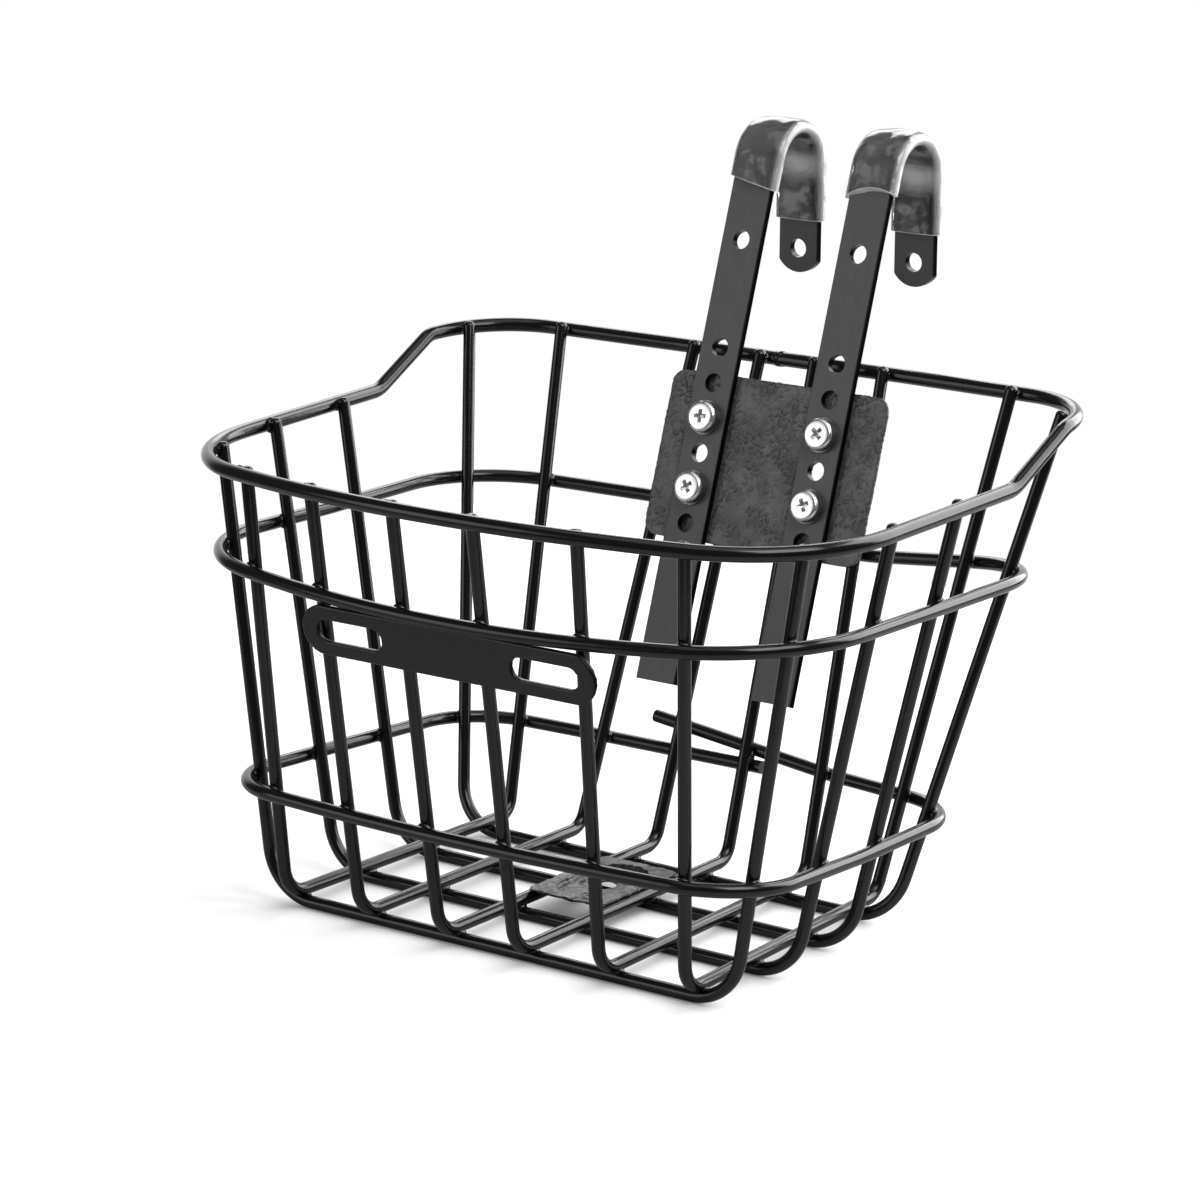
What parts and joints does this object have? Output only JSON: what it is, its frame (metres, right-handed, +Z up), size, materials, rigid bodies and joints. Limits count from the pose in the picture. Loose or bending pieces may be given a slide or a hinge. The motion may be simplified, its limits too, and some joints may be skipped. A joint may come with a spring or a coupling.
{
  "type": "handlebar basket",
  "caption": "Wire bicycle basket with a flat leaning back, two hook straps for the handlebar, a front reflector strip and a plate in the floor.",
  "frame": {"origin": "on the ground under the middle of the part's bounding box, hooks included", "axes": "+X to the right across the bicycle, along the handlebar; +Y to the rear, towards the rider; +Z up"},
  "size_m": [0.2666, 0.2554, 0.2502],
  "materials": {
    "coated_wire": "gloss black dip coating",
    "textured_plate": "wrinkled black coating",
    "strap_steel": "satin dark grey coating",
    "bracket_steel": "smooth satin black coating",
    "clear_vinyl": "clear glossy vinyl tube",
    "zinc_steel": "bright zinc plate"
  },
  "bodies": {
    "basket": {"clamp_nuts": "zinc_steel", "clamp_screws": "zinc_steel", "clamp_washers": "zinc_steel", "clear_sleeve_left": "clear_vinyl", "clear_sleeve_right": "clear_vinyl", "cross_wire_1": "coated_wire", "cross_wire_2": "coated_wire", "cross_wire_3": "coated_wire", "cross_wire_4": "coated_wire", "floor_plate": "textured_plate", "hook_strap_left": "strap_steel", "hook_strap_right": "strap_steel", "long_wire_1": "coated_wire", "long_wire_2": "coated_wire", "long_wire_3": "coated_wire", "long_wire_4": "coated_wire", "long_wire_5": "coated_wire", "long_wire_6": "coated_wire", "lower_hoop": "coated_wire", "rear_plate": "textured_plate", "reflector_bracket": "bracket_steel", "rim": "coated_wire", "upper_hoop": "coated_wire"}
  },
  "joints": []
}
